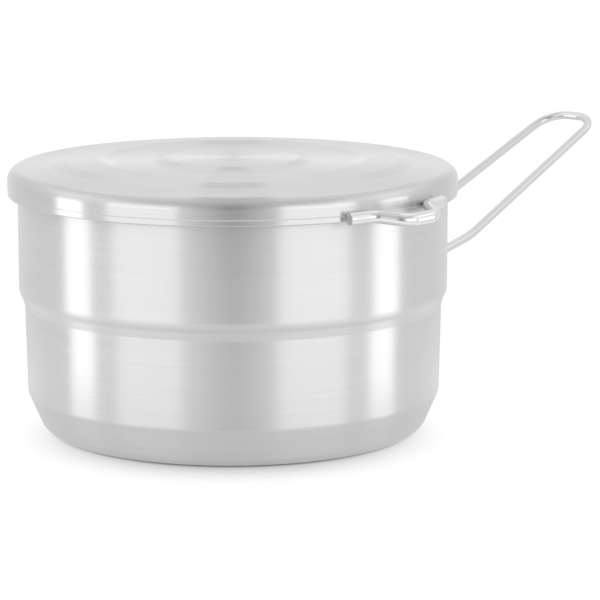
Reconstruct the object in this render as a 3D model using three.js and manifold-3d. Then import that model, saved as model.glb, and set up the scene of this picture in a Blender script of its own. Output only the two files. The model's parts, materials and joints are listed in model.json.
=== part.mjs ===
// A two-litre stainless steel camping pot: a stepped deep-drawn body, a skirted lid with pressed rings and a
// wire loop, and a long wire handle that swings over the lid.
// Millimetres, +Z up. The origin is the centre of the underside, with the handle along +X and the loop at -Y.
import * as THREE from "three";
import { mergeVertices } from "three/addons/utils/BufferGeometryUtils.js";
import Module from "manifold-3d";

const wasm = await Module();
wasm.setup();

// Pot body: sheet thickness, outer radii and heights from the underside
const potWall = 0.8;
const upperRadius = 86;
const potHeight = 104.6;
const rimBeadRadius = 1.5;
const stepTopHeight = 56.9;
const stepHeight = 6.1;
const stepInset = 2.3;
const stepFootFillet = 2.5;
const stepTopFillet = 9;
const lowerWallTaper = 0.7;
const footHeight = 16.6;
const footInset = 6.8;
const footFillet = 4;
const baseCornerRadius = 7;

// Lid: sheet thickness, skirt, and the rings pressed into its top, as widths counted inwards from the edge
const lidWall = 0.7;
const lidPlay = 1.1;
const lidCornerRadius = 4.2;
const skirtDepth = 10.5;
const borderWidth = 17.5;
const borderRise = 1.4;
const outerSlopeWidth = 6;
const ringWidth = 13.5;
const innerSlopeWidth = 5.5;
const channelWidth = 16;
const centreSlopeWidth = 4.5;
const ringRise = 2.9;
const ringCrown = 0.6;
const channelDepth = 1.2;
const centreRise = 1.2;
const pressingFillet = 3.5;

// Loop on the lid's skirt: round wire, two feet along the skirt and a bow between them
const loopWireRadius = 2.5;
const loopHeightAboveSkirtEdge = 2.2;
const loopFootEnd = 26.2;
const loopFootLength = 10;
const loopBowHalfWidth = 5;
const loopReach = 10;
const loopDroop = 1.5;
const loopLean = 1.5;

// Handle: round wire whose ends turn in the bracket, with a crank down the wall, a root and a grip
const handleWireRadius = 1.75;
const handleHalfWidth = 18.3;
const pivotBelowSkirt = 7.4;
const crankDrop = 32.3;
const rootTilt = 14.4;
const rootLength = 38.6;
const gripTilt = 24.85;
const gripLength = 99.4;
const tipHalfWidth = 13.5;
const tipBendRadius = 11.5;
const rootBendRadius = 45;
const elbowRadius = 5;
const endGap = 5;

// Bracket: sheet plate on the wall, rolled into a barrel along its upper edge
const bracketSheet = 1;
const bracketPlateHeight = 20;
const barrelEndClearance = 0.8;
const pinClearance = 0.3;

// Gap left between pieces that touch, and how far a cut runs past what it cuts
const seatGap = 0.3;
const cutOverrun = 2;

// How finely round shapes are faceted
const turnSegments = 60;
const filletStep = THREE.MathUtils.degToRad(24);
const wireSides = 10;
const wireBendStep = THREE.MathUtils.degToRad(18);
const loopSteps = 40;
const barrelSides = 24;
const plateSteps = 8;

// Sizes that follow from the ones above
const rimOuterRadius = upperRadius - potWall + 2 * rimBeadRadius;
const rimBeadCentreRadius = upperRadius - potWall + rimBeadRadius;
const rimBeadHeight = potHeight - rimBeadRadius;
const lidRadius = rimOuterRadius + lidPlay + lidWall;
const lidUnderside = lidSeatHeight();
const borderHeight = lidUnderside + lidWall;
const skirtEdgeHeight = borderHeight - skirtDepth;
const barrelRadius = handleWireRadius + pinClearance + bracketSheet;
const pivotRadius = upperRadius + seatGap + barrelRadius;
const pivotHeight = skirtEdgeHeight - pivotBelowSkirt;
const elbowDistance = Math.sqrt((upperRadius + seatGap + handleWireRadius) ** 2 - handleHalfWidth ** 2);

// The lid comes to rest where its flat, or the round inside its corner, meets the bead of the rim.
function lidSeatHeight() {
  const insideCorner = lidCornerRadius - lidWall;
  const reach = Math.max(insideCorner - rimBeadRadius - seatGap, 0);
  const sideways = Math.max(insideCorner - rimBeadRadius - lidPlay, 0);
  const rise = insideCorner - Math.sqrt(reach ** 2 - sideways ** 2);
  return Math.max(potHeight + seatGap, rimBeadHeight + rise);
}

// Points along straight runs whose corners { at, radius } are rounded, as far as half of a run allows.
function roundedChain(corners, bendStep) {
  const points = [];
  corners.forEach(({ at, radius }, i) => {
    const before = corners[i - 1];
    const after = corners[i + 1];
    if (!before || !after || !radius) {
      points.push(at.clone());
      return;
    }
    const arriving = at.clone().sub(before.at).normalize();
    const leaving = after.at.clone().sub(at).normalize();
    const turn = Math.acos(THREE.MathUtils.clamp(arriving.dot(leaving), -1, 1));
    const halfRun = Math.min(at.distanceTo(before.at), at.distanceTo(after.at)) / 2;
    const fillet = Math.min(radius, halfRun / Math.tan(turn / 2));
    const bisector = leaving.clone().sub(arriving).normalize();
    const forward = arriving.clone().add(leaving).normalize();
    const centre = at.clone().addScaledVector(bisector, fillet / Math.cos(turn / 2));
    const steps = Math.max(1, Math.ceil(turn / bendStep));
    for (let k = 0; k <= steps; k++) {
      const angle = (k / steps - 0.5) * turn;
      const point = centre.clone().addScaledVector(bisector, -fillet * Math.cos(angle));
      points.push(point.addScaledVector(forward, fillet * Math.sin(angle)));
    }
  });
  return points;
}

// A sheet's outer face, from its corners [radius, height, fillet].
function outerFace(corners) {
  const chain = corners.map(([r, z, fillet]) => ({ at: new THREE.Vector2(r, z), radius: fillet }));
  return roundedChain(chain, filletStep);
}

// The sheet's other face, which lies its thickness to the left of the direction of the outer one.
function innerFace(face, thickness) {
  return face.map((point, i) => {
    const before = face[Math.max(i - 1, 0)];
    const after = face[Math.min(i + 1, face.length - 1)];
    const arriving = point.clone().sub(before).normalize();
    const leaving = after.clone().sub(point).normalize();
    const along = arriving.add(leaving).normalize();
    const square = i > 0 && i < face.length - 1 ? along.dot(leaving) : 1;
    const shift = thickness / square;
    return new THREE.Vector2(Math.max(point.x - along.y * shift, 0), point.y + along.x * shift);
  });
}

// A path through given points, sampled at exactly those points.
class WirePath extends THREE.Curve {
  constructor(points) {
    super();
    this.points = points;
  }

  getPoint(t) {
    const place = t * (this.points.length - 1);
    const i = Math.min(Math.floor(place), this.points.length - 2);
    return this.points[i].clone().lerp(this.points[i + 1], place - i);
  }

  getPointAt(t) {
    return this.getPoint(t);
  }

  getTangentAt(t) {
    const last = this.points.length - 1;
    const i = Math.round(t * last);
    const here = this.points[i];
    const arriving = here.clone().sub(this.points[Math.max(i - 1, 0)]).normalize();
    const leaving = this.points[Math.min(i + 1, last)].clone().sub(here).normalize();
    return arriving.add(leaving).normalize();
  }
}

// A round wire along points.
function wire(points, radius) {
  const section = new THREE.Shape();
  for (let k = 0; k < wireSides; k++) {
    const angle = (2 * Math.PI * k) / wireSides;
    const x = radius * Math.cos(angle);
    const y = radius * Math.sin(angle);
    if (k === 0) section.moveTo(x, y);
    else section.lineTo(x, y);
  }
  section.closePath();
  return new THREE.ExtrudeGeometry(section, { steps: points.length - 1, extrudePath: new WirePath(points) });
}

// A closed geometry as a solid that can be joined and cut.
function solid(geometry) {
  const bare = geometry.clone();
  bare.deleteAttribute("normal");
  bare.deleteAttribute("uv");
  const merged = mergeVertices(bare, 1e-4);
  return new wasm.Manifold(
    new wasm.Mesh({
      numProp: 3,
      vertProperties: new Float32Array(merged.attributes.position.array),
      triVerts: new Uint32Array(merged.index.array),
    }),
  );
}

// A solid's surface as a geometry.
function surface(made) {
  const mesh = made.getMesh();
  const geometry = new THREE.BufferGeometry();
  geometry.setAttribute("position", new THREE.BufferAttribute(mesh.vertProperties, 3));
  geometry.setIndex(new THREE.BufferAttribute(mesh.triVerts, 1));
  geometry.computeVertexNormals();
  return geometry;
}

// A closed profile of [radius, height] points turned about the pot's axis.
function turned(profile) {
  return new THREE.LatheGeometry(profile, turnSegments).rotateX(Math.PI / 2);
}

function steel(colour, roughness) {
  return new THREE.MeshStandardMaterial({ color: colour, roughness, metalness: 1 });
}

function piece(name, geometry, material) {
  const mesh = new THREE.Mesh(geometry, material);
  mesh.name = name;
  return mesh;
}

// Pot body: a drawn shell. Its outer face runs from the axis to the rim, round the bead and back down inside.
function potBody() {
  const lowerRadius = upperRadius - stepInset;
  const footTopRadius = lowerRadius - lowerWallTaper;
  const outer = outerFace([
    [0, 0, 0],
    [footTopRadius - footInset, 0, baseCornerRadius],
    [footTopRadius, footHeight, footFillet],
    [lowerRadius, stepTopHeight - stepHeight, stepFootFillet],
    [upperRadius, stepTopHeight, stepTopFillet],
    [upperRadius, rimBeadHeight, 0],
  ]);
  const inner = innerFace(outer, potWall);
  const beadStart = -Math.acos((upperRadius - rimBeadCentreRadius) / rimBeadRadius);
  const beadTurns = Math.ceil((Math.PI - beadStart) / filletStep);
  const bead = [];
  for (let k = 0; k < beadTurns; k++) {
    const angle = beadStart + ((Math.PI - beadStart) * k) / beadTurns;
    const across = rimBeadCentreRadius + rimBeadRadius * Math.cos(angle);
    bead.push(new THREE.Vector2(across, rimBeadHeight + rimBeadRadius * Math.sin(angle)));
  }
  const profile = [...outer.slice(0, -1), ...bead, ...inner.reverse()];
  return turned(profile);
}

// Lid: a pressed shell with a skirt, a border that rises a little inwards, a raised ring, a channel and a raised
// centre.
function lid() {
  const borderInner = lidRadius - borderWidth;
  const ringOuter = borderInner - outerSlopeWidth;
  const ringInner = ringOuter - ringWidth;
  const channelOuter = ringInner - innerSlopeWidth;
  const channelInner = channelOuter - channelWidth;
  const centreRadius = channelInner - centreSlopeWidth;
  const ringHeight = borderHeight + ringRise;
  const ringInnerHeight = ringHeight + ringCrown;
  const channelHeight = ringInnerHeight - channelDepth;
  const centreHeight = channelHeight + centreRise;
  const top = outerFace([
    [lidRadius, skirtEdgeHeight, 0],
    [lidRadius, borderHeight, lidCornerRadius],
    [borderInner, borderHeight + borderRise, pressingFillet],
    [ringOuter, ringHeight, pressingFillet],
    [ringInner, ringInnerHeight, pressingFillet],
    [channelOuter, channelHeight, pressingFillet],
    [channelInner, channelHeight, pressingFillet],
    [centreRadius, centreHeight, pressingFillet],
    [0, centreHeight, 0],
  ]);
  const underside = innerFace(top, lidWall);
  return turned([...underside.reverse(), ...top]);
}

// Loop: a wire that follows the skirt on its two feet and bows out, and a little down, between them. It leans up
// a little towards the handle.
function lidLoop() {
  const footRadius = lidRadius + loopWireRadius + seatGap;
  const height = skirtEdgeHeight + loopHeightAboveSkirtEdge;
  const bendEnd = loopFootEnd - loopFootLength;
  const slope = Math.tan(THREE.MathUtils.degToRad(loopLean));
  const points = [];
  for (let k = 0; k <= loopSteps; k++) {
    const along = loopFootEnd * ((2 * k) / loopSteps - 1);
    const bow = 1 - THREE.MathUtils.smoothstep(Math.abs(along), loopBowHalfWidth, bendEnd);
    const radius = footRadius + loopReach * bow;
    const angle = along / footRadius - Math.PI / 2;
    const x = radius * Math.cos(angle);
    const y = radius * Math.sin(angle);
    points.push(new THREE.Vector3(x, y, height + slope * along - loopDroop * bow));
  }
  return wire(points, loopWireRadius);
}

// Handle: one wire, the same on both sides. From its end in the barrel it turns down the wall, turns out at
// the elbow that bears on the wall, bends up a little and closes in a rounded tip.
function handleWire() {
  const elbow = new THREE.Vector3(elbowDistance, handleHalfWidth, pivotHeight - crankDrop);
  const rootEnd = alongHandle(elbow, rootTilt, rootLength, 0);
  const tip = alongHandle(rootEnd, gripTilt, gripLength, tipHalfWidth - handleHalfWidth);
  const side = [
    { at: new THREE.Vector3(pivotRadius, endGap / 2, pivotHeight), radius: 0 },
    { at: new THREE.Vector3(pivotRadius, handleHalfWidth, pivotHeight), radius: elbowRadius },
    { at: elbow, radius: elbowRadius },
    { at: rootEnd, radius: rootBendRadius },
    { at: tip, radius: tipBendRadius },
  ];
  const otherSide = side.map(({ at, radius }) => ({ at: new THREE.Vector3(at.x, -at.y, at.z), radius }));
  const points = roundedChain([...side, ...otherSide.reverse()], wireBendStep);
  return wire(points, handleWireRadius);
}

// The place a length further out along the handle at a tilt, with a change of half width.
function alongHandle(from, tilt, length, widening) {
  const angle = THREE.MathUtils.degToRad(tilt);
  const step = new THREE.Vector3(length * Math.cos(angle), widening, length * Math.sin(angle));
  return from.clone().add(step);
}

// Bracket: a plate curved to the wall, whose upper edge is rolled into the barrel that holds the wire's ends.
function handleBracket() {
  const halfLength = handleHalfWidth - elbowRadius - barrelEndClearance;
  const plateInside = upperRadius + seatGap;
  const halfAngle = halfLength / plateInside;
  const plan = new THREE.Shape();
  plan.absarc(0, 0, plateInside + bracketSheet, -halfAngle, halfAngle, false);
  plan.absarc(0, 0, plateInside, halfAngle, -halfAngle, true);
  plan.closePath();
  const plateShape = { depth: bracketPlateHeight, bevelEnabled: false, curveSegments: plateSteps };
  const plate = new THREE.ExtrudeGeometry(plan, plateShape);
  plate.translate(0, 0, pivotHeight - bracketPlateHeight);
  const barrel = barrelCylinder(barrelRadius, 2 * halfLength);
  const bore = barrelCylinder(barrelRadius - bracketSheet, 2 * (halfLength + cutOverrun));
  return surface(solid(plate).add(solid(barrel)).subtract(solid(bore)));
}

function barrelCylinder(radius, length) {
  const cylinder = new THREE.CylinderGeometry(radius, radius, length, barrelSides);
  cylinder.translate(pivotRadius, 0, pivotHeight);
  return cylinder;
}

const pot = new THREE.Group();
pot.add(piece("pot_body", potBody(), steel(0xd6d6d4, 0.32)));
pot.add(piece("lid", lid(), steel(0xd2d2d1, 0.34)));
pot.add(piece("lid_loop", lidLoop(), steel(0xe0e0df, 0.14)));
pot.add(piece("handle_bracket", handleBracket(), steel(0xd2d2d0, 0.3)));
pot.add(piece("handle_wire", handleWire(), steel(0xdededc, 0.18)));

export default pot;
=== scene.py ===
# A stainless steel camping pot with its lid on: a stepped shell, a skirted lid with a wire loop, and a long
# wire handle that swings over the lid in a rolled bracket. Metres, +Z up, the origin at the centre of the
# underside, +X along the handle and -Y through the loop.
import json
import math

import bmesh
import bpy
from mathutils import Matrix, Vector


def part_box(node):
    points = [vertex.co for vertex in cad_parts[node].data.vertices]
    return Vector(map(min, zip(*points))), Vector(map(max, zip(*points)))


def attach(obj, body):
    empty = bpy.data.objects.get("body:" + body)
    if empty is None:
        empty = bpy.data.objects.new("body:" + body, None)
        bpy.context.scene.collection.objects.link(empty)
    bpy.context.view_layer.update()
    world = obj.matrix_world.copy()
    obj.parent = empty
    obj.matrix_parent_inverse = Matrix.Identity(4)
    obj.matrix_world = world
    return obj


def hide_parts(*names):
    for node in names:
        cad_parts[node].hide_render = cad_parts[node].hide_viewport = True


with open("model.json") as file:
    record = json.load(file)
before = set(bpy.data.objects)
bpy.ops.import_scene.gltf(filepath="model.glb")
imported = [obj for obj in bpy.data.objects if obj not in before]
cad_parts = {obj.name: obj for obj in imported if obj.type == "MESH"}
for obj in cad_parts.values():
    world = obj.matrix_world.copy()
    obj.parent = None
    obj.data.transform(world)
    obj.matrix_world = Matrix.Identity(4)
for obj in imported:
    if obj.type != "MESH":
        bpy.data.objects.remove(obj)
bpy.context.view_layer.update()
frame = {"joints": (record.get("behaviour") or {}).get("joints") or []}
mm = 0.001

# Camera
# A long lens a little above the lid, turned so that the handle points away to the right and the loop shows
# on the right of the skirt.
camera_turn = math.radians(45.5)
camera_tilt = math.radians(10.57)
camera_distance = 1191 * mm
camera_height = 273.4 * mm
camera_offset = 26.86 * mm
focal_pixels = 3002.7
photo_pixels = 600
towards_camera = Vector((-math.sin(camera_turn), -math.cos(camera_turn), 0))
camera_right = Vector((math.cos(camera_turn), -math.sin(camera_turn), 0))
camera_place = towards_camera * camera_distance + camera_right * camera_offset
camera_place.z = camera_height
bpy.ops.object.camera_add(location=camera_place, rotation=(math.pi / 2 - camera_tilt, 0, -camera_turn))
camera = bpy.context.object
camera.data.lens = camera.data.sensor_width * focal_pixels / photo_pixels
bpy.context.scene.camera = camera

# Pot body
# One shell deep-drawn from 0.8 mm stainless steel sheet: a flat base, a sloped foot, a wall with a step half
# way up that leans most at its top, and an edge rolled outwards into a bead. It was turned against fine
# grit, so the brushing runs round it.
pot_sheet = 0.8 * mm
pot_radius = 86 * mm
bead_radius = 1.5 * mm
bead_centre = (pot_radius - pot_sheet + bead_radius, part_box("pot_body")[1].z - bead_radius)
foot_top = (83.0 * mm, 15.9 * mm)
foot_inset = 6.8 * mm
step_foot = (83.7 * mm, 50.8 * mm)
step_middle = (84.6 * mm, 54.1 * mm)
step_top = (pot_radius, 56.6 * mm)
base_rounding = 7 * mm
foot_rounding = 4 * mm
step_foot_rounding = 2.5 * mm
step_middle_rounding = 6 * mm
step_top_rounding = 6 * mm
turn_sides = 192
segment_angle = math.radians(5)
sharp_angle = math.radians(40)
near = 0.01 * mm


def start_piece(name):
    """Names the primitive just added, puts its place into its mesh and opens it for editing by edges."""
    made = bpy.context.object
    made.name = name
    made.data.name = name
    bpy.ops.object.transform_apply(location=True, rotation=True, scale=True)
    bpy.ops.object.mode_set(mode="EDIT")
    bpy.context.tool_settings.mesh_select_mode = (False, True, False)
    return made


def pick_edges(made, wanted):
    """Selects the edges for which wanted is true, and nothing else."""
    bpy.ops.mesh.select_all(action="DESELECT")
    mesh = bmesh.from_edit_mesh(made.data)
    for edge in mesh.edges:
        if wanted(edge):
            edge.select_set(True)
    bmesh.update_edit_mesh(made.data)


def is_border(edge):
    return len(edge.link_faces) == 1


def on_ring(radius, height):
    """A test for edges that lie on a circle round the pot's axis."""

    def lies_there(edge):
        return all(
            abs(math.hypot(corner.co.x, corner.co.y) - radius) < near and abs(corner.co.z - height) < near
            for corner in edge.verts
        )

    return lies_there


def turned_sheet(name, rings):
    """A thin sheet turned about the pot's axis. Each ring is (radius, height, rounding): the first edges a
    filled circle, the others are drawn from it one by one, and then the corners that have a rounding are
    bevelled."""
    radius, height, _ = rings[0]
    bpy.ops.object.select_all(action="DESELECT")
    bpy.ops.mesh.primitive_circle_add(
        vertices=turn_sides, radius=radius, fill_type="TRIFAN", location=(0, 0, height)
    )
    made = start_piece(name)
    pick_edges(made, is_border)
    for next_radius, next_height, _ in rings[1:]:
        bpy.ops.mesh.extrude_edges_move(TRANSFORM_OT_translate={"value": (0, 0, next_height - height)})
        widening = next_radius / radius
        bpy.ops.transform.resize(value=(widening, widening, 1), center_override=(0, 0, next_height))
        radius, height = next_radius, next_height
    middle = (0, rings[0][1], 0)
    for before, corner, after in zip([middle, *rings], rings, rings[1:]):
        if corner[2]:
            arriving = Vector(corner[:2]) - Vector(before[:2])
            turn = arriving.angle(Vector(after[:2]) - Vector(corner[:2]))
            pick_edges(made, on_ring(*corner[:2]))
            bpy.ops.mesh.bevel(
                offset=corner[2] * math.tan(turn / 2),
                segments=max(2, math.ceil(turn / segment_angle)),
                affect="EDGES",
            )
    if rings[-1][1] > rings[0][1]:
        # A bowl's outside is below its base, and a cap's is above its top, as the filled circle faces.
        bpy.ops.mesh.select_all(action="SELECT")
        bpy.ops.mesh.flip_normals()
    bpy.ops.object.mode_set(mode="OBJECT")
    return made


def apply_modifier(made, kind, **settings):
    """Adds a modifier with its settings and applies it."""
    bpy.ops.object.select_all(action="DESELECT")
    made.select_set(True)
    bpy.context.view_layer.objects.active = made
    bpy.ops.object.modifier_add(type=kind)
    modifier = made.modifiers[-1]
    for setting, value in settings.items():
        setattr(modifier, setting, value)
    bpy.ops.object.modifier_apply(modifier=modifier.name)


def finish_surface(made):
    """Smooth shading that keeps flat and straight stretches true between their rounded corners."""
    bpy.ops.object.select_all(action="DESELECT")
    made.select_set(True)
    bpy.context.view_layer.objects.active = made
    bpy.ops.object.shade_smooth_by_angle(angle=sharp_angle)
    apply_modifier(made, "WEIGHTED_NORMAL", keep_sharp=True)


pot_rings = [
    (foot_top[0] - foot_inset, 0, base_rounding),
    (*foot_top, foot_rounding),
    (*step_foot, step_foot_rounding),
    (*step_middle, step_middle_rounding),
    (*step_top, step_top_rounding),
]
# The bead rolls over the rim and down outside, and its end stops just short of the wall.
bead_inside = bead_radius - pot_sheet
bead_start = math.radians(180)
bead_end = math.radians(-100)
bead_steps = 16
for k in range(bead_steps + 1):
    angle = bead_start + (bead_end - bead_start) * k / bead_steps
    across = bead_centre[0] + bead_inside * math.cos(angle)
    pot_rings.append((across, bead_centre[1] + bead_inside * math.sin(angle), 0))
pot_body = turned_sheet("pot_shell", pot_rings)
apply_modifier(pot_body, "SOLIDIFY", thickness=pot_sheet, offset=-1, use_even_offset=True)
finish_surface(pot_body)


def srgb(hex_colour):
    """A hex sRGB colour as linear RGBA."""
    channels = [int(hex_colour[k : k + 2], 16) / 255 for k in (1, 3, 5)]
    linear = [c / 12.92 if c <= 0.04045 else ((c + 0.055) / 1.055) ** 2.4 for c in channels]
    return (*linear, 1)


def add_node(tree, kind, inputs=None, **settings):
    """A node with its settings. Each input is a value, or the output of another node that is linked to it.
    A Mix node's numbers are its inputs 2 and 3, and its colours are 6 and 7."""
    made = tree.nodes.new(kind)
    for setting, value in settings.items():
        setattr(made, setting, value)
    for socket, value in (inputs or {}).items():
        if isinstance(value, bpy.types.NodeSocket):
            tree.links.new(value, made.inputs[socket])
        else:
            made.inputs[socket].default_value = value
    return made


def new_material(name):
    """An empty node material and its tree."""
    made = bpy.data.materials.new(name)
    made.use_nodes = True
    made.node_tree.nodes.clear()
    return made, made.node_tree


def brushed_steel(name, light, dark, roughness, stretch, height_sign):
    """Stainless steel sheet brushed round the axis. Fine scratches run along circles, so light spreads
    across them, up and down a wall and outwards on a lid, and hardly along them. height_sign says whether
    the sheet's outline runs outwards and up (1) or inwards and up (-1)."""
    # The scratches are 0.05 mm apart on the real sheet, too fine to show, so they are drawn 0.5 mm apart and
    # about 60 mm long, with broader bands 4 mm apart where the grit bit deeper.
    scratches = (0.5 * mm, 60 * mm)
    bands = (4 * mm, 150 * mm)
    band_share = 0.5
    grain_range = (0.45, 1.05)
    roughness_spread = 0.02
    scratch_depth = 0.01 * mm
    quarter_turn = 0.25
    made, tree = new_material(name)
    place = add_node(tree, "ShaderNodeTexCoord").outputs["Object"]
    flat = add_node(tree, "ShaderNodeVectorMath", {0: place, 1: (1, 1, 0)}, operation="MULTIPLY").outputs[0]
    distance = add_node(tree, "ShaderNodeVectorMath", {0: flat}, operation="LENGTH").outputs["Value"]
    height = add_node(tree, "ShaderNodeSeparateXYZ", {0: place}).outputs["Z"]
    outline = add_node(
        tree, "ShaderNodeMath", {0: height, 1: height_sign, 2: distance}, operation="MULTIPLY_ADD"
    ).outputs[0]
    streaks = []
    for spacing, length in (scratches, bands):
        along = add_node(
            tree, "ShaderNodeVectorMath", {0: flat, 1: (1 / length,) * 3}, operation="MULTIPLY"
        ).outputs[0]
        across = add_node(
            tree, "ShaderNodeMath", {0: outline, 1: 1 / spacing}, operation="MULTIPLY"
        ).outputs[0]
        lift = add_node(tree, "ShaderNodeCombineXYZ", {"Z": across}).outputs[0]
        spot = add_node(tree, "ShaderNodeVectorMath", {0: along, 1: lift}, operation="ADD").outputs[0]
        noise = add_node(
            tree, "ShaderNodeTexNoise", {"Vector": spot, "Scale": 1, "Detail": 2, "Roughness": 0.6}
        )
        streaks.append(noise.outputs["Fac"])
    both = add_node(
        tree, "ShaderNodeMath", {0: streaks[1], 1: band_share, 2: streaks[0]}, operation="MULTIPLY_ADD"
    ).outputs[0]
    grain = add_node(
        tree,
        "ShaderNodeMapRange",
        {"Value": both, "From Min": grain_range[0], "From Max": grain_range[1]},
    ).outputs["Result"]
    colour = add_node(
        tree, "ShaderNodeMix", {0: grain, 6: srgb(dark), 7: srgb(light)}, data_type="RGBA"
    ).outputs[2]
    rough = add_node(
        tree,
        "ShaderNodeMapRange",
        {"Value": grain, "To Min": roughness - roughness_spread, "To Max": roughness + roughness_spread},
    ).outputs["Result"]
    bump = add_node(
        tree, "ShaderNodeBump", {"Height": streaks[0], "Strength": 0.05, "Distance": scratch_depth}
    ).outputs["Normal"]
    round_axis = add_node(
        tree, "ShaderNodeVectorMath", {0: (0, 0, 1), 1: place}, operation="CROSS_PRODUCT"
    ).outputs[0]
    shader = add_node(
        tree,
        "ShaderNodeBsdfPrincipled",
        {
            "Base Color": colour,
            "Metallic": 1,
            "Roughness": rough,
            "Anisotropic": stretch,
            "Anisotropic Rotation": quarter_turn,
            "Tangent": round_axis,
            "Normal": bump,
        },
    ).outputs[0]
    add_node(tree, "ShaderNodeOutputMaterial", {"Surface": shader})
    return made


pot_body.data.materials.append(
    brushed_steel(
        "brushed_stainless_wall", "#DEDEDE", "#D6D6D6", roughness=0.33, stretch=0.95, height_sign=1
    )
)
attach(pot_body, "pot")
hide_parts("pot_body")

# Lid
# A cap pressed from 0.7 mm stainless steel sheet. Its border rises a little inwards, then the top steps up
# to a ring, down into a channel and up to a flat centre. Its skirt goes over the rim, with a line rolled in
# above the edge to stiffen it.
lid_sheet = 0.7 * mm
lid_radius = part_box("lid")[1].x
skirt_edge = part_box("lid")[0].z
border_inner = 72.5 * mm
ring_outer = 66.5 * mm
ring_inner = 53.0 * mm
channel_outer = 47.5 * mm
channel_inner = 31.5 * mm
centre_radius = 27.0 * mm
border_rise = 1.4 * mm
ring_rise = 2.9 * mm
ring_crown = 0.6 * mm
channel_depth = 1.2 * mm
centre_rise = 1.2 * mm
border_height = 105.858 * mm
border_inner_height = border_height + border_rise
ring_height = border_height + ring_rise
ring_inner_height = ring_height + ring_crown
channel_height = ring_inner_height - channel_depth
centre_height = channel_height + centre_rise
pressing_rounding = 10 * mm
lid_rounding = 4.8 * mm
hem_height = 2.2 * mm
hem_inset = 0.09 * mm
hem_slope = 0.5 * mm
hem_rounding = 0.3 * mm
lead_in = 0.3 * mm
lid_rings = [
    (centre_radius, centre_height, pressing_rounding),
    (channel_inner, channel_height, pressing_rounding),
    (channel_outer, channel_height, pressing_rounding),
    (ring_inner, ring_inner_height, pressing_rounding),
    (ring_outer, ring_height, pressing_rounding),
    (border_inner, border_inner_height, pressing_rounding),
    (lid_radius, border_height, lid_rounding),
    (lid_radius, skirt_edge + hem_height + hem_slope, hem_rounding),
    (lid_radius - hem_inset, skirt_edge + hem_height, hem_rounding),
    (lid_radius - hem_inset, skirt_edge + lead_in, hem_rounding),
    (lid_radius - hem_inset - lead_in, skirt_edge, 0),
]
lid = turned_sheet("lid_shell", lid_rings)
apply_modifier(lid, "SOLIDIFY", thickness=lid_sheet, offset=-1, use_even_offset=True)
finish_surface(lid)
lid.data.materials.append(
    brushed_steel(
        "brushed_stainless_skirt", "#D6D6D6", "#CECECE", roughness=0.27, stretch=0.95, height_sign=-1
    )
)
lid.data.materials.append(
    brushed_steel("satin_stainless_top", "#DCDCDC", "#D4D4D4", roughness=0.17, stretch=1, height_sign=-1)
)


def pick_faces(made, wanted):
    """Selects the faces for which wanted is true, and nothing else."""
    bpy.context.tool_settings.mesh_select_mode = (False, False, True)
    bpy.ops.mesh.select_all(action="DESELECT")
    mesh = bmesh.from_edit_mesh(made.data)
    for face in mesh.faces:
        if wanted(face):
            face.select_set(True)
    bmesh.update_edit_mesh(made.data)


# The top was finished on a softer wheel than the skirt, so its grain hardly shows.
bpy.ops.object.mode_set(mode="EDIT")
pick_faces(lid, lambda face: face.calc_center_median().xy.length < lid_radius - lid_rounding / 2)
lid.active_material_index = 1
bpy.ops.object.material_slot_assign()
bpy.ops.object.mode_set(mode="OBJECT")
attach(lid, "lid")
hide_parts("lid")

# Loop on the lid
# A short length of 5 mm stainless wire, bent out in a bow and down a little, polished, and spot-welded to
# the skirt by its two feet. Its ends are cut square.
loop_wire = 2.5 * mm
weld_gap = 0.05 * mm
loop_height = skirt_edge + 2.2 * mm
loop_foot_distance = lid_radius + loop_wire + weld_gap
loop_reach = 10.2 * mm
loop_droop = 1.5 * mm
loop_lean = math.radians(1.5)
loop_foot_end = 26.2 * mm
loop_foot_bend = 15 * mm
loop_bow_bend = 7 * mm
loop_bend_radius = 8 * mm
wire_sides = 40
wire_bend_step = math.radians(5)
wire_straight_step = 3 * mm
cut_rounding = 0.25 * mm
merge_distance = 0.001 * mm


def draw_straight(move):
    """Draws the selected edges straight along, in short steps."""
    steps = max(1, math.ceil(move.length / wire_straight_step))
    for _ in range(steps):
        bpy.ops.mesh.extrude_edges_move(TRANSFORM_OT_translate={"value": move / steps})


def bent_wire(name, radius, corners):
    """A round wire through corners (place, bend radius): a circle drawn straight to each bend and spun
    round it."""
    places = [place for place, _ in corners]
    here = places[0]
    facing = (places[1] - here).to_track_quat("Z", "Y").to_euler()
    bpy.ops.object.select_all(action="DESELECT")
    bpy.ops.mesh.primitive_circle_add(
        vertices=wire_sides, radius=radius, fill_type="NGON", location=here, rotation=facing
    )
    made = start_piece(name)
    pick_edges(made, is_border)
    for before, (corner, bend), after in zip(places, corners[1:], places[2:]):
        arriving = (corner - before).normalized()
        leaving = (after - corner).normalized()
        turn = arriving.angle(leaving)
        axis = arriving.cross(leaving).normalized()
        bend_start = corner - arriving * bend * math.tan(turn / 2)
        draw_straight(bend_start - here)
        bpy.ops.mesh.spin(
            steps=max(2, math.ceil(turn / wire_bend_step)),
            angle=-turn,
            center=bend_start + axis.cross(arriving) * bend,
            axis=axis,
        )
        here = corner + leaving * bend * math.tan(turn / 2)
    draw_straight(places[-1] - here)
    bpy.ops.mesh.edge_face_add()
    bpy.ops.mesh.select_all(action="SELECT")
    bpy.ops.mesh.remove_doubles(threshold=merge_distance)
    bpy.ops.mesh.normals_make_consistent(inside=False)
    # Only the two cut ends are faces with more than four corners.
    pick_edges(made, lambda edge: any(len(face.verts) > 4 for face in edge.link_faces))
    bpy.ops.mesh.bevel(offset=cut_rounding, segments=3, affect="EDGES")
    bpy.ops.object.mode_set(mode="OBJECT")
    return made


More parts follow.
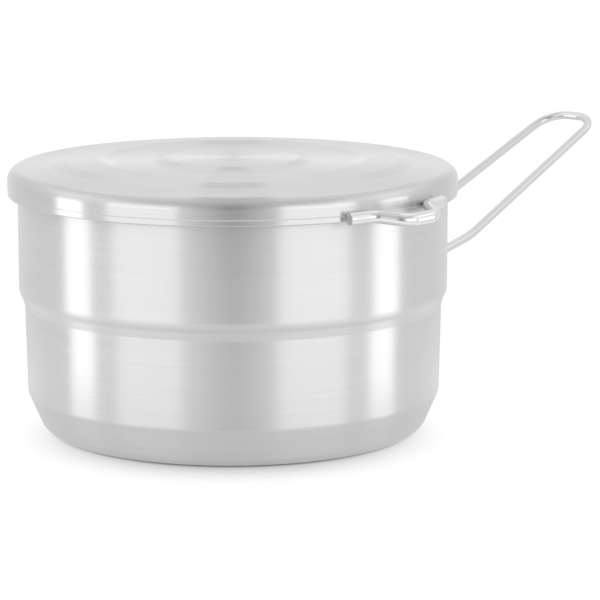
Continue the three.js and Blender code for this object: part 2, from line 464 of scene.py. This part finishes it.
def loop_place(along, distance, height):
    """A place at a distance from the axis, turned from -Y by a length along the skirt, and raised by the
    lean."""
    angle = along / loop_foot_distance - math.pi / 2
    raised = height + along * math.tan(loop_lean)
    return Vector((distance * math.cos(angle), distance * math.sin(angle), raised))


loop_bow_distance = loop_foot_distance + loop_reach
loop_corners = []
for side in (-1, 1):
    half = [
        (loop_place(side * loop_foot_end, loop_foot_distance, loop_height), 0),
        (loop_place(side * loop_foot_bend, loop_foot_distance, loop_height), loop_bend_radius),
        (loop_place(side * loop_bow_bend, loop_bow_distance, loop_height - loop_droop), loop_bend_radius),
    ]
    loop_corners += half if side < 0 else half[::-1]
lid_loop = bent_wire("lid_loop_wire", loop_wire, loop_corners)
finish_surface(lid_loop)


def drawn_steel(name, light, dark, roughness, lean):
    """Drawn or rolled stainless steel. Faint streaks run along X, leaned up by an angle in the XZ plane."""
    # The marks are 0.1 mm apart, too fine to show, so they are drawn 1.5 mm apart, and about 40 mm long.
    mark_spacing = 1.5 * mm
    mark_length = 40 * mm
    mark_depth = 0.01 * mm
    roughness_spread = 0.02
    made, tree = new_material(name)
    place = add_node(tree, "ShaderNodeTexCoord").outputs["Object"]
    stretched = add_node(
        tree,
        "ShaderNodeMapping",
        {
            "Vector": place,
            "Rotation": (0, -lean, 0),
            "Scale": (mark_length, mark_spacing, mark_spacing),
        },
        vector_type="TEXTURE",
    ).outputs[0]
    streak = add_node(
        tree, "ShaderNodeTexNoise", {"Vector": stretched, "Scale": 1, "Detail": 2}
    ).outputs["Fac"]
    colour = add_node(
        tree, "ShaderNodeMix", {0: streak, 6: srgb(dark), 7: srgb(light)}, data_type="RGBA"
    ).outputs[2]
    rough = add_node(
        tree,
        "ShaderNodeMapRange",
        {"Value": streak, "To Min": roughness - roughness_spread, "To Max": roughness + roughness_spread},
    ).outputs["Result"]
    bump = add_node(
        tree, "ShaderNodeBump", {"Height": streak, "Strength": 0.02, "Distance": mark_depth}
    ).outputs["Normal"]
    shader = add_node(
        tree,
        "ShaderNodeBsdfPrincipled",
        {"Base Color": colour, "Metallic": 1, "Roughness": rough, "Normal": bump},
    ).outputs[0]
    add_node(tree, "ShaderNodeOutputMaterial", {"Surface": shader})
    return made


lid_loop.data.materials.append(
    drawn_steel("polished_stainless_wire", "#EBEBEB", "#E2E2E2", roughness=0.14, lean=0)
)
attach(lid_loop, "lid")
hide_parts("lid_loop")

# Handle bracket
# A strip of 1 mm stainless sheet, shaped to the wall and spot-welded to it at four places. Its upper edge is
# rolled into the barrel that the two ends of the handle turn in.
bracket_sheet = 1 * mm
handle_hinge = next(joint for joint in frame["joints"] if joint["name"] == "handle_fold")
pivot = Vector(handle_hinge["pos_m"])
bracket_low, bracket_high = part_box("handle_bracket")
bracket_half_width = bracket_high.y
barrel_middle_radius = bracket_high.z - pivot.z - bracket_sheet / 2
plate_distance = pivot.x - barrel_middle_radius
plate_bottom = bracket_low.z
plate_height = pivot.z - plate_bottom
plate_corner = 3 * mm
plate_cell = 1 * mm
wall_gap = 0.3 * mm
barrel_roll = math.radians(318)
barrel_steps = 40
weld_radius = 2.6 * mm
weld_depth = 0.3 * mm
weld_across = 7.5 * mm
weld_heights = (plate_bottom + 4.5 * mm, plate_bottom + 12.5 * mm)
weld_pick = 0.75 * plate_cell
wrapped_top = pivot.z - 0.25 * plate_height
edge_break = 0.2 * mm
edge_angle = math.radians(60)
plate_middle = Vector((plate_distance, 0, plate_bottom + plate_height / 2))
bpy.ops.object.select_all(action="DESELECT")
bpy.ops.mesh.primitive_plane_add(size=1, location=plate_middle, rotation=(0, math.pi / 2, 0))
bracket = start_piece("bracket_sheet")
bpy.ops.transform.resize(value=(1, 2 * bracket_half_width, plate_height), center_override=plate_middle)


def pick_corners(made, wanted):
    """Selects the vertices for which wanted is true, and nothing else."""
    bpy.context.tool_settings.mesh_select_mode = (True, False, False)
    bpy.ops.mesh.select_all(action="DESELECT")
    mesh = bmesh.from_edit_mesh(made.data)
    for corner in mesh.verts:
        if wanted(corner.co):
            corner.select_set(True)
    mesh.select_flush_mode()
    bmesh.update_edit_mesh(made.data)


pick_corners(bracket, lambda place: place.z < plate_bottom + near)
bpy.ops.mesh.bevel(offset=plate_corner, offset_type="OFFSET", segments=6, affect="VERTICES")
for k in range(1, round(2 * bracket_half_width / plate_cell)):
    bpy.ops.mesh.select_all(action="SELECT")
    bpy.ops.mesh.bisect(plane_co=(0, k * plate_cell - bracket_half_width, 0), plane_no=(0, 1, 0))
for k in range(1, round(plate_height / plate_cell)):
    bpy.ops.mesh.select_all(action="SELECT")
    bpy.ops.mesh.bisect(plane_co=(0, 0, plate_bottom + k * plate_cell), plane_no=(0, 0, 1))
bpy.context.tool_settings.mesh_select_mode = (False, True, False)
pick_edges(bracket, lambda edge: all(abs(corner.co.z - pivot.z) < near for corner in edge.verts))
bpy.ops.mesh.spin(steps=barrel_steps, angle=-barrel_roll, center=pivot, axis=(0, 1, 0))
bpy.ops.mesh.select_all(action="SELECT")
bpy.ops.mesh.remove_doubles(threshold=merge_distance)
bpy.ops.mesh.normals_make_consistent(inside=False)
for weld_height in weld_heights:
    for weld_side in (-1, 1):
        weld = Vector((plate_distance, weld_side * weld_across, weld_height))
        pick_corners(bracket, lambda place: (place - weld).length < weld_pick)
        bpy.ops.transform.translate(
            value=(-weld_depth, 0, 0),
            use_proportional_edit=True,
            proportional_edit_falloff="SMOOTH",
            proportional_size=weld_radius,
        )
pick_corners(bracket, lambda place: place.x < plate_distance + near and place.z < wrapped_top)
bpy.ops.object.vertex_group_assign_new()
bpy.ops.object.mode_set(mode="OBJECT")
apply_modifier(
    bracket,
    "SHRINKWRAP",
    target=pot_body,
    wrap_method="PROJECT",
    use_project_x=True,
    use_negative_direction=True,
    use_positive_direction=False,
    offset=wall_gap + bracket_sheet / 2,
    vertex_group=bracket.vertex_groups[0].name,
)
apply_modifier(bracket, "SOLIDIFY", thickness=bracket_sheet, offset=0, use_even_offset=True)
apply_modifier(
    bracket, "BEVEL", width=edge_break, segments=2, limit_method="ANGLE", angle_limit=edge_angle
)
finish_surface(bracket)
bracket.data.materials.append(
    drawn_steel("satin_stainless_sheet", "#D2D2D2", "#C8C8C8", roughness=0.36, lean=0)
)
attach(bracket, "pot")
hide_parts("handle_bracket")

# Handle
# One length of 3.5 mm stainless wire bent into a long hairpin. Its two ends turn in the barrel of the
# bracket, a crank on each side bears on the wall, and the grip rises outwards to a rounded tip.
handle_wire = 1.75 * mm
handle_half_width = 18.3 * mm
end_gap = 5 * mm
crank_drop = 32.3 * mm
elbow_distance = math.sqrt((pot_radius + wall_gap + handle_wire) ** 2 - handle_half_width**2)
root_tilt = math.radians(14.4)
root_length = 38.6 * mm
grip_tilt = math.radians(24.85)
grip_length = 99.4 * mm
tip_half_width = 13.5 * mm
elbow_radius = 5 * mm
root_bend_radius = 45 * mm
tip_radius = 11.5 * mm
elbow = Vector((elbow_distance, handle_half_width, pivot.z - crank_drop))
root_end = elbow + Vector((root_length * math.cos(root_tilt), 0, root_length * math.sin(root_tilt)))
tip = root_end + Vector((grip_length * math.cos(grip_tilt), 0, grip_length * math.sin(grip_tilt)))
tip.y = tip_half_width
handle_side = [
    (Vector((pivot.x, end_gap / 2, pivot.z)), 0),
    (Vector((pivot.x, handle_half_width, pivot.z)), elbow_radius),
    (elbow, elbow_radius),
    (root_end, root_bend_radius),
    (tip, tip_radius),
]
other_side = [(Vector((place.x, -place.y, place.z)), bend) for place, bend in reversed(handle_side)]
handle = bent_wire("handle_hairpin", handle_wire, handle_side + other_side)
finish_surface(handle)
handle.data.materials.append(
    drawn_steel("drawn_stainless_wire", "#E0E0E0", "#DCDCDC", roughness=0.22, lean=grip_tilt)
)
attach(handle, "handle")
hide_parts("handle_wire")

# Floor
# An oval white table, longer along the view than across it. Away from the pot it fades into the white
# surround, and near the pot it keeps the soft shadow. Under the base its paint is a dark painted shadow,
# which draws the line where the pot stands. Mirrored in the steel, it glows with painted light, brighter in
# front than near the pot and behind it.
floor_radius = 0.36
floor_half_width = 0.17
floor_sides = 128
floor_drop = 0.05 * mm
floor_white = "#F4F4F4"
painted_shadow_grey = "#303030"
shadow_shift = 17 * mm
seen_fade = (0.05, 0.088)
mirrored_fade = (0.03, 0.08)
near_level = 0.8
front_level = 1.1
back_level = 0.75
back_fade = (-0.2, -0.05)
painted_shadow_edge = (0.0719, 0.0752)
level_rise = (0.1, 0.17)
bpy.ops.object.select_all(action="DESELECT")
bpy.ops.mesh.primitive_circle_add(
    vertices=floor_sides,
    radius=floor_radius,
    fill_type="NGON",
    location=(0, 0, -floor_drop),
    rotation=(0, 0, -camera_turn),
)
bpy.context.object.scale.x = floor_half_width / floor_radius
floor = start_piece("floor")
bpy.ops.object.mode_set(mode="OBJECT")
floor_paint, tree = new_material("white_floor_paint")
place = add_node(tree, "ShaderNodeTexCoord").outputs["Object"]
distance = add_node(
    tree, "ShaderNodeVectorMath", {0: place, 1: towards_camera * shadow_shift}, operation="DISTANCE"
).outputs["Value"]
light_path = add_node(tree, "ShaderNodeLightPath").outputs
mirrored = add_node(
    tree,
    "ShaderNodeMath",
    {0: light_path["Is Glossy Ray"], 1: light_path["Is Transmission Ray"]},
    operation="MAXIMUM",
).outputs[0]
shown = 0
for ray, fade_start, fade_end in ((light_path["Is Camera Ray"], *seen_fade), (mirrored, *mirrored_fade)):
    faded = add_node(
        tree,
        "ShaderNodeMapRange",
        {"Value": distance, "From Min": fade_start, "From Max": fade_end},
        interpolation_type="SMOOTHSTEP",
    ).outputs["Result"]
    shown = add_node(
        tree, "ShaderNodeMath", {0: ray, 1: faded, 2: shown}, operation="MULTIPLY_ADD"
    ).outputs[0]
flat = add_node(tree, "ShaderNodeVectorMath", {0: place, 1: (1, 1, 0)}, operation="MULTIPLY").outputs[0]
from_axis = add_node(tree, "ShaderNodeVectorMath", {0: flat}, operation="LENGTH").outputs["Value"]
# Under the base the paint turns dark grey: a painted shadow where the pot stands.
outside_painted_shadow = add_node(
    tree,
    "ShaderNodeMapRange",
    {"Value": from_axis, "From Min": painted_shadow_edge[0], "From Max": painted_shadow_edge[1]},
).outputs["Result"]
paint_colour = add_node(
    tree, "ShaderNodeMix", {0: outside_painted_shadow, 6: srgb(painted_shadow_grey), 7: srgb(floor_white)}, data_type="RGBA"
).outputs[2]
paint = add_node(tree, "ShaderNodeBsdfDiffuse", {"Color": paint_colour}).outputs[0]
towards = add_node(
    tree, "ShaderNodeVectorMath", {0: place, 1: towards_camera}, operation="DOT_PRODUCT"
).outputs["Value"]
# Mirrored in the steel the table glows with painted light: brighter in front, dimmer behind, and dimmer near
# the pot as painted shade.
far_level = add_node(
    tree,
    "ShaderNodeMapRange",
    {
        "Value": towards,
        "From Min": back_fade[0],
        "From Max": back_fade[1],
        "To Min": back_level,
        "To Max": front_level,
    },
).outputs["Result"]
mirrored_level = add_node(
    tree,
    "ShaderNodeMapRange",
    {
        "Value": distance,
        "From Min": level_rise[0],
        "From Max": level_rise[1],
        "To Min": near_level,
        "To Max": far_level,
    },
).outputs["Result"]
white_level = add_node(
    tree, "ShaderNodeMix", {0: light_path["Is Camera Ray"], 2: mirrored_level, 3: 1}, data_type="FLOAT"
).outputs[0]
white = add_node(tree, "ShaderNodeEmission", {"Color": (1, 1, 1, 1), "Strength": white_level}).outputs[0]
mixed = add_node(tree, "ShaderNodeMixShader", {0: shown, 1: paint, 2: white}).outputs[0]
add_node(tree, "ShaderNodeOutputMaterial", {"Surface": mixed})
floor.data.materials.append(floor_paint)

# Surround
# A white tent round the table: walls, and a roof that is brightest at the back and the sides, with a darker
# seam on either side of its middle. A grey gap runs over the top from the camera, where it is widest and
# darkest, to the back, where it fades. All places are shares of a ray's length, and the camera sees white.
wall_turn = (-0.2, 0.2)
wall_levels = (0.85, 0.92)
wall_middle = (0.05, 0.35)
wall_middle_level = 0.9
roof_turn = (-0.2, 0.5)
roof_levels = (1, 0.7)
glow_rise = (0.65, 0.9)
glow_level = 0.5
seam_slope = 0.75
seam_start = -0.1
seam_width = 0.1
seam_level = 0.75
roof_rise = (0.3, 0.6)
gap_reach = (-0.85, 1)
gap_widths = (0.04, 0.44)
closing_reach = (-0.95, -0.72)
closing_levels = (0.22, 0)
depth_reach = (0.3, 0.95)
depth_levels = (0.76, 0.34)
edge_reach = (-0.6, 0.2)
edge_starts = (0.7, 0.1)
surround = bpy.data.worlds.new("white_tent")
bpy.context.scene.world = surround
surround.use_nodes = True
tree = surround.node_tree
tree.nodes.clear()
ray = add_node(tree, "ShaderNodeTexCoord").outputs["Generated"]
tent_front = Vector((camera_place.x, camera_place.y, 0)).normalized()
tent_right = Vector((-tent_front.y, tent_front.x, 0))
sideways = add_node(
    tree, "ShaderNodeVectorMath", {0: ray, 1: tent_right}, operation="DOT_PRODUCT"
).outputs["Value"]
sideways = add_node(tree, "ShaderNodeMath", {0: sideways}, operation="ABSOLUTE").outputs[0]
forwards = add_node(
    tree, "ShaderNodeVectorMath", {0: ray, 1: tent_front}, operation="DOT_PRODUCT"
).outputs["Value"]
upwards = add_node(tree, "ShaderNodeSeparateXYZ", {0: ray}).outputs["Z"]
# What changes from the back to the front of the tent, as (where it changes, its two values).
changes = {
    "walls": (wall_turn, wall_levels),
    "roof": (roof_turn, roof_levels),
    "gap width": (gap_reach, gap_widths),
    "gap closing": (closing_reach, closing_levels),
    "gap depth": (depth_reach, depth_levels),
    "gap edge": (edge_reach, edge_starts),
}
changed = {}
for part, ((start, end), (back_value, front_value)) in changes.items():
    changed[part] = add_node(
        tree,
        "ShaderNodeMapRange",
        {
            "Value": forwards,
            "From Min": start,
            "From Max": end,
            "To Min": back_value,
            "To Max": front_value,
        },
    ).outputs["Result"]
walls = add_node(
    tree,
    "ShaderNodeMapRange",
    {
        "Value": sideways,
        "From Min": wall_middle[0],
        "From Max": wall_middle[1],
        "To Min": wall_middle_level,
        "To Max": changed["walls"],
    },
).outputs["Result"]
side_glow = add_node(
    tree,
    "ShaderNodeMapRange",
    {"Value": sideways, "From Min": glow_rise[0], "From Max": glow_rise[1], "To Max": glow_level},
).outputs["Result"]
roof = add_node(tree, "ShaderNodeMath", {0: changed["roof"], 1: side_glow}, operation="ADD").outputs[0]
seam_place = add_node(
    tree, "ShaderNodeMath", {0: upwards, 1: seam_slope, 2: seam_start}, operation="MULTIPLY_ADD"
).outputs[0]
seam_distance = add_node(
    tree, "ShaderNodeMath", {0: seam_place, 1: sideways}, operation="SUBTRACT"
).outputs[0]
seam_distance = add_node(tree, "ShaderNodeMath", {0: seam_distance}, operation="ABSOLUTE").outputs[0]
seam = add_node(
    tree,
    "ShaderNodeMapRange",
    {"Value": seam_distance, "From Max": seam_width, "To Min": seam_level, "To Max": 1},
).outputs["Result"]
roof = add_node(tree, "ShaderNodeMath", {0: roof, 1: seam}, operation="MULTIPLY").outputs[0]
rise = add_node(
    tree,
    "ShaderNodeMapRange",
    {"Value": upwards, "From Min": roof_rise[0], "From Max": roof_rise[1]},
    interpolation_type="SMOOTHSTEP",
).outputs["Result"]
tent = add_node(tree, "ShaderNodeMix", {0: rise, 2: walls, 3: roof}, data_type="FLOAT").outputs[0]
gap_level = add_node(
    tree, "ShaderNodeMath", {0: changed["gap closing"], 1: changed["gap depth"]}, operation="ADD"
).outputs[0]
ratio = add_node(
    tree, "ShaderNodeMath", {0: sideways, 1: changed["gap width"]}, operation="DIVIDE"
).outputs[0]
tent = add_node(
    tree,
    "ShaderNodeMapRange",
    {
        "Value": ratio,
        "From Min": changed["gap edge"],
        "From Max": 1,
        "To Min": gap_level,
        "To Max": tent,
    },
).outputs["Result"]
camera_ray = add_node(tree, "ShaderNodeLightPath").outputs["Is Camera Ray"]
level = add_node(tree, "ShaderNodeMix", {0: camera_ray, 2: tent, 3: 1}, data_type="FLOAT").outputs[0]
background = add_node(tree, "ShaderNodeBackground", {"Color": (1, 1, 1, 1), "Strength": level}).outputs[0]
add_node(tree, "ShaderNodeOutputWorld", {"Surface": background})

# Lamps
# Four upright soft boxes: two broad ones in front, left and right of the camera, the right one a little
# wider and brighter, and two narrow ones that stand lower at the sides. Each is (degrees round from the
# camera, width, bottom, top, radiance).
lamp_distance = 1.1
soft_boxes = {
    "front_box_left": (-44, 0.74, -0.1, 0.5, 0.78),
    "front_box_right": (43.3, 0.77, -0.1, 0.5, 0.83),
    "side_box_left": (-86, 0.35, -0.3, 0.22, 1.2),
    "side_box_right": (87, 0.35, -0.3, 0.22, 1.2),
}
# A flag keeps the right side box off the handle.
flagged = bpy.data.collections.new("flagged_handle")
flagged.objects.link(handle)
flagged.collection_objects[0].light_linking.link_state = "EXCLUDE"
for name, (angle, width, bottom, top, radiance) in soft_boxes.items():
    turn = math.radians(angle)
    place = (towards_camera * math.cos(turn) + camera_right * math.sin(turn)) * lamp_distance
    place.z = (bottom + top) / 2
    facing = (Vector((0, 0, place.z)) - place).to_track_quat("-Z", "Y").to_euler()
    bpy.ops.object.light_add(type="AREA", location=place, rotation=facing)
    lamp = bpy.context.object
    lamp.name = name
    lamp.data.shape = "RECTANGLE"
    lamp.data.size = width
    lamp.data.size_y = top - bottom
    lamp.data.energy = radiance * math.pi * width * (top - bottom)
    lamp.visible_camera = False
    if name == "side_box_right":
        lamp.light_linking.receiver_collection = flagged

bpy.context.scene.view_settings.view_transform = "Standard"
